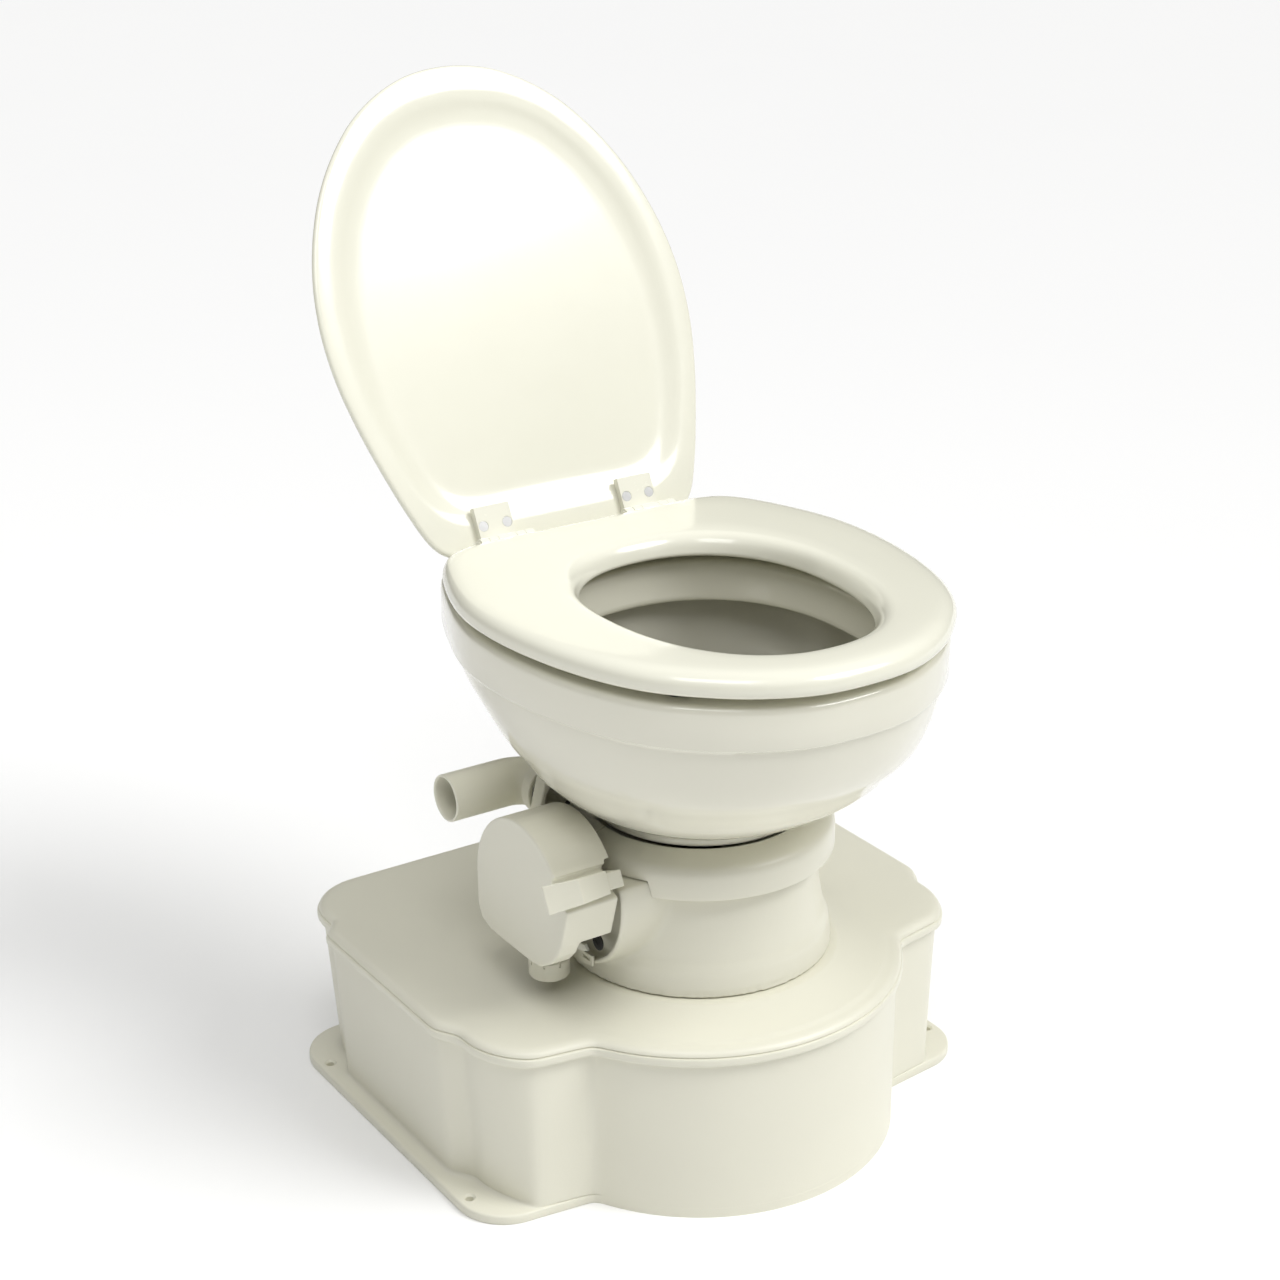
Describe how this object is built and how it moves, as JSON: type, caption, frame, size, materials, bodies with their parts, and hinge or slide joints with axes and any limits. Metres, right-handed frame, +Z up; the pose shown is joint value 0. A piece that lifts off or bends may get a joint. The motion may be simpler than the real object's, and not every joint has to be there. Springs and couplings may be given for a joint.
{
  "type": "pedestal flush toilet",
  "caption": "Pedestal flush toilet with a raised lid, foot pedal and side outlet, fixed on a low bolt-down holding tank with a rounded front.",
  "frame": {"origin": "on the floor under the pedestal's axis", "axes": "+Z up, -Y towards the seat's front, the pedal and outlet on the -X side"},
  "size_m": [0.486, 0.5972, 0.8153],
  "materials": {
    "tank": "satin rotomoulded plastic",
    "moulding": "satin moulded plastic",
    "china": "gloss glazed china",
    "seat": "gloss moulded seat",
    "hinge": "moulded hinge",
    "rubber": "black rubber",
    "seal": "rubber seal",
    "steel": "stainless",
    "white": "white acetal"
  },
  "bodies": {
    "base": {"tank_body": "tank", "deck_flange": "moulding", "flange_screws": "steel", "foot_seal": "seal", "pedestal": "moulding", "clamp_band_front": "moulding", "clamp_band_rear": "moulding", "ball_seal_upper": "seal", "seal_retainer": "moulding", "pivot_stub": "steel", "shaft_bush": "white", "bowl": "china", "hinge_post_left": "hinge", "hinge_post_right": "hinge", "hinge_pins": "hinge", "hinge_bolts": "white", "hinge_nuts": "white", "side_cover": "moulding", "cover_screws": "steel", "spring_drum": "moulding", "drum_cap": "moulding", "torsion_spring": "steel", "water_valve": "moulding", "inlet_tail": "moulding", "lever_pin": "steel", "wall_grommet": "rubber", "valve_bracket": "moulding", "outlet_elbow": "moulding", "elbow_gasket": "seal", "rear_port": "moulding"},
    "seat": {"seat": "seat", "seat_leaf_left": "hinge", "seat_leaf_right": "hinge", "seat_bumpers": "seal"},
    "lid": {"lid": "seat", "lid_leaf_left": "hinge", "lid_leaf_right": "hinge", "lid_leaf_screws": "steel"},
    "pedal": {"flush_pedal": "moulding", "flush_shaft": "steel", "flush_ball": "white"},
    "inlet_nut": {"inlet_nut": "moulding"},
    "valve_lever": {"valve_lever": "white"},
    "elbow_nut": {"elbow_nut": "moulding"}
  },
  "joints": [
    {"name": "seat_hinge", "type": "hinge", "parent": "base", "child": "seat", "pos_m": [0, 0.1748, 0.465], "axis": [-1, 0, 0], "range_deg": [0, 97]},
    {"name": "lid_hinge", "type": "hinge", "parent": "base", "child": "lid", "pos_m": [0, 0.1748, 0.465], "axis": [-1, 0, 0], "range_deg": [-117.4, 0]},
    {"name": "pedal_press", "type": "hinge", "parent": "base", "child": "pedal", "pos_m": [0, 0, 0.242], "axis": [1, 0, 0], "range_deg": [-5, 80], "stiffness_Nm_per_rad": 2.5},
    {"name": "valve_lever_lift", "type": "hinge", "parent": "base", "child": "valve_lever", "pos_m": [0, -0.012, 0.198], "axis": [1, 0, 0], "range_deg": [-1, 12]},
    {"name": "inlet_nut_turn", "type": "hinge", "parent": "base", "child": "inlet_nut", "pos_m": [-0.1385, 0.005, 0.174], "axis": [0, 0, 1], "continuous": true},
    {"name": "elbow_nut_turn", "type": "hinge", "parent": "base", "child": "elbow_nut", "pos_m": [-0.095, 0.072, 0.2905], "axis": [0, 1, 0], "continuous": true}
  ],
  "couplings": [
    {"joint": "valve_lever_lift", "follows": "pedal_press", "ratio": 0.12}
  ]
}
